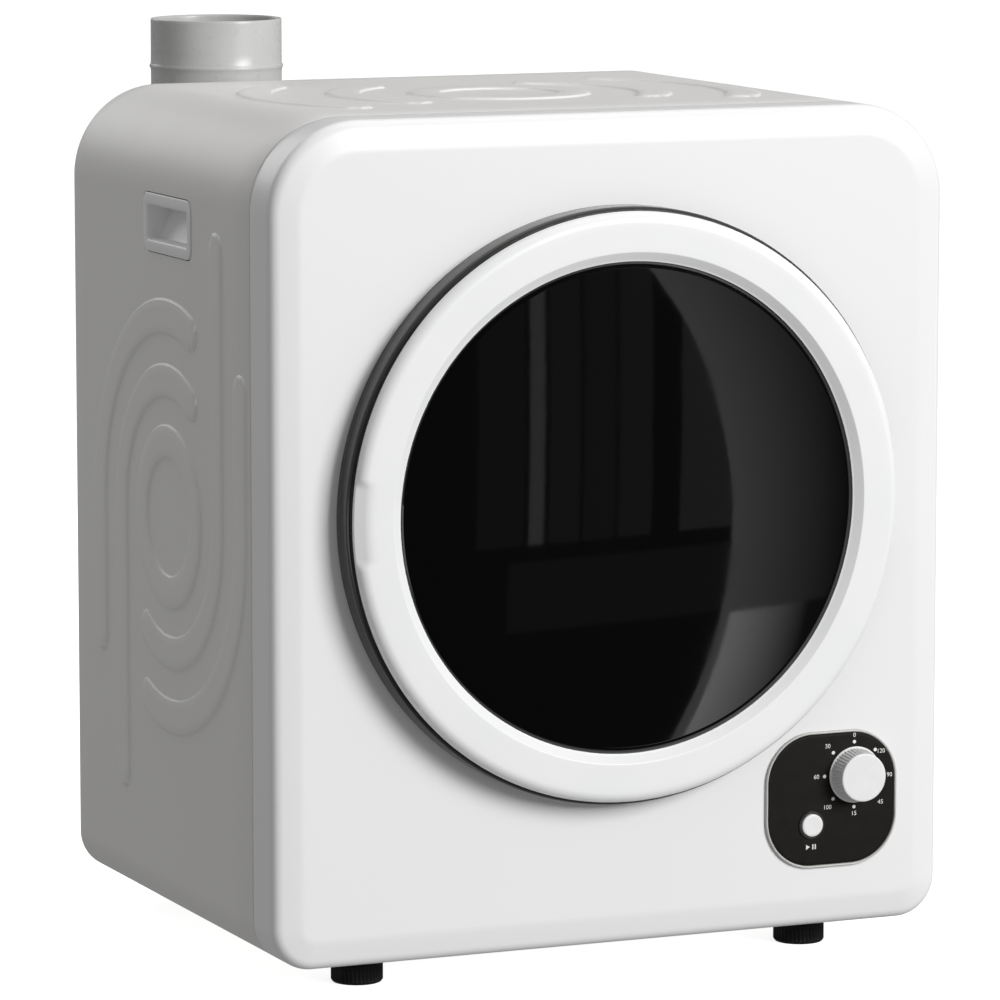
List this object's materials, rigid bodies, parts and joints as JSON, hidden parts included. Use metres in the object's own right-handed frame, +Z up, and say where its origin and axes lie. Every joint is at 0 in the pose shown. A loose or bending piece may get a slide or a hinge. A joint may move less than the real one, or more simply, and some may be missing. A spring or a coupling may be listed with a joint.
{
  "type": "clothes dryer",
  "caption": "Compact vented clothes dryer: rounded white cabinet, round tinted door, timer dial and start button, side grips, levelling feet and rear exhaust elbow.",
  "frame": {"origin": "middle of the footprint box at floor level, under the feet", "axes": "+Z up, X across with +X to the viewer's right when facing the door, +Y from the front (door) to the rear (exhaust)"},
  "size_m": [0.5336, 0.5625, 0.6755],
  "materials": {
    "front_white": "smooth white moulded plastic",
    "cabinet_paint": "white enamelled sheet steel",
    "zinc": "galvanised sheet steel",
    "collar_grey": "dark grey glossy plastic",
    "ring_white": "glossy white plastic",
    "tinted_glass": "smoke-tinted glass",
    "grey_plastic": "moulded mid-grey plastic",
    "black_plastic": "moulded black plastic",
    "panel_black": "warm black satin panel",
    "bezel_grey": "light grey plastic",
    "knob_white": "white plastic",
    "felt": "wool felt",
    "rubber_black": "black rubber",
    "drum_steel": "stainless steel",
    "lifter_plastic": "pale plastic",
    "steel": "machined steel",
    "aluminium": "cast aluminium",
    "motor_paint": "dark painted laminations",
    "heater_ceramic": "ceramic heater block",
    "pipe_grey": "light grey plastic",
    "foot_black": "black plastic"
  },
  "bodies": {
    "cabinet": {"front_panel": "front_white", "cabinet_shell": "cabinet_paint", "base_tray": "zinc", "rear_panel": "cabinet_paint", "rear_panel_screws": "steel", "side_handle_left": "front_white", "side_handle_right": "front_white", "door_collar": "collar_grey", "drum_front_support": "grey_plastic", "drum_glides": "lifter_plastic", "front_felt_seal": "felt", "rear_bulkhead": "zinc", "fan_volute": "zinc", "exhaust_collar": "pipe_grey", "bearing_housing": "zinc", "motor_stator": "motor_paint", "motor_end_bells": "aluminium", "motor_bracket": "zinc", "heater_housing": "zinc", "heater_core": "heater_ceramic", "timer_body": "grey_plastic", "start_switch": "black_plastic", "control_plate": "panel_black", "control_bezel": "bezel_grey", "button_ring": "bezel_grey", "latch_switch": "black_plastic", "hinge_bracket": "steel", "hinge_pin": "steel", "drum_belt": "rubber_black", "fan_belt": "rubber_black", "tension_spring": "steel", "foot_nuts": "steel", "cord_gland": "black_plastic"},
    "door": {"door_ring": "ring_white", "window_glass": "tinted_glass", "door_frame": "black_plastic", "door_liner": "grey_plastic", "door_gasket": "rubber_black", "door_screws": "steel", "hinge_leaf": "steel", "latch_hook": "black_plastic"},
    "drum": {"drum_shell": "drum_steel", "drum_back": "drum_steel", "drum_lifters": "lifter_plastic", "drum_shaft": "steel"},
    "filter": {"lint_filter": "grey_plastic"},
    "rotor": {"motor_rotor": "steel", "drum_pulley": "steel", "fan_drive_pulley": "black_plastic"},
    "idler_lever": {"idler_arm": "zinc"},
    "idler_wheel": {"idler_pulley": "black_plastic"},
    "fan": {"fan_impeller": "black_plastic"},
    "dial": {"timer_knob": "knob_white", "timer_spindle": "steel"},
    "button": {"start_button": "knob_white"},
    "foot_fl": {"foot_front_left": "foot_black"},
    "foot_fr": {"foot_front_right": "foot_black"},
    "foot_rl": {"foot_rear_left": "foot_black"},
    "foot_rr": {"foot_rear_right": "foot_black"},
    "outlet": {"exhaust_elbow": "pipe_grey"}
  },
  "joints": [
    {"name": "door_hinge", "type": "hinge", "parent": "cabinet", "child": "door", "pos_m": [0.2125, -0.2621, 0.347], "axis": [0, 0, 1], "range_deg": [0, 115]},
    {"name": "drum_spin", "type": "hinge", "parent": "cabinet", "child": "drum", "pos_m": [0, -0.0505, 0.347], "axis": [0, 1, 0], "continuous": true},
    {"name": "filter_pull", "type": "slide", "parent": "drum", "child": "filter", "axis": [0, -1, 0], "range_m": [0, 0.15]},
    {"name": "motor_spin", "type": "hinge", "parent": "cabinet", "child": "rotor", "pos_m": [0.15, -0.0505, 0.088], "axis": [0, 1, 0], "continuous": true},
    {"name": "fan_spin", "type": "hinge", "parent": "cabinet", "child": "fan", "pos_m": [0, 0.1145, 0.347], "axis": [0, 1, 0], "continuous": true},
    {"name": "idler_swing", "type": "hinge", "parent": "cabinet", "child": "idler_lever", "pos_m": [0.1, 0.0295, 0.05], "axis": [0, -1, 0], "range_deg": [0, 10], "stiffness_Nm_per_rad": 0.6, "springref_deg": -28.65, "deforming": ["tension_spring"]},
    {"name": "idler_spin", "type": "hinge", "parent": "idler_lever", "child": "idler_wheel", "pos_m": [0.0474, 0.0375, 0.0826], "axis": [0, 1, 0], "continuous": true},
    {"name": "timer_turn", "type": "hinge", "parent": "cabinet", "child": "dial", "pos_m": [0.193, -0.2605, 0.1355], "axis": [0, 1, 0], "range_deg": [-45, 270]},
    {"name": "start_push", "type": "slide", "parent": "cabinet", "child": "button", "axis": [0, 1, 0], "range_m": [0, 0.0025], "stiffness_N_per_m": 300, "springref_m": -0.001},
    {"name": "outlet_swivel", "type": "hinge", "parent": "cabinet", "child": "outlet", "pos_m": [-0.125, 0.1895, 0.54], "axis": [0, 1, 0], "range_deg": [-90, 90]},
    {"name": "level_fl", "type": "slide", "parent": "cabinet", "child": "foot_fl", "axis": [0, 0, -1], "range_m": [0, 0.008]},
    {"name": "level_fr", "type": "slide", "parent": "cabinet", "child": "foot_fr", "axis": [0, 0, -1], "range_m": [0, 0.008]},
    {"name": "level_rl", "type": "slide", "parent": "cabinet", "child": "foot_rl", "axis": [0, 0, -1], "range_m": [0, 0.008]},
    {"name": "level_rr", "type": "slide", "parent": "cabinet", "child": "foot_rr", "axis": [0, 0, -1], "range_m": [0, 0.008]}
  ],
  "couplings": [
    {"joint": "motor_spin", "follows": "drum_spin", "ratio": 24.871},
    {"joint": "fan_spin", "follows": "drum_spin", "ratio": 21.111},
    {"joint": "idler_spin", "follows": "drum_spin", "ratio": -15.487}
  ]
}
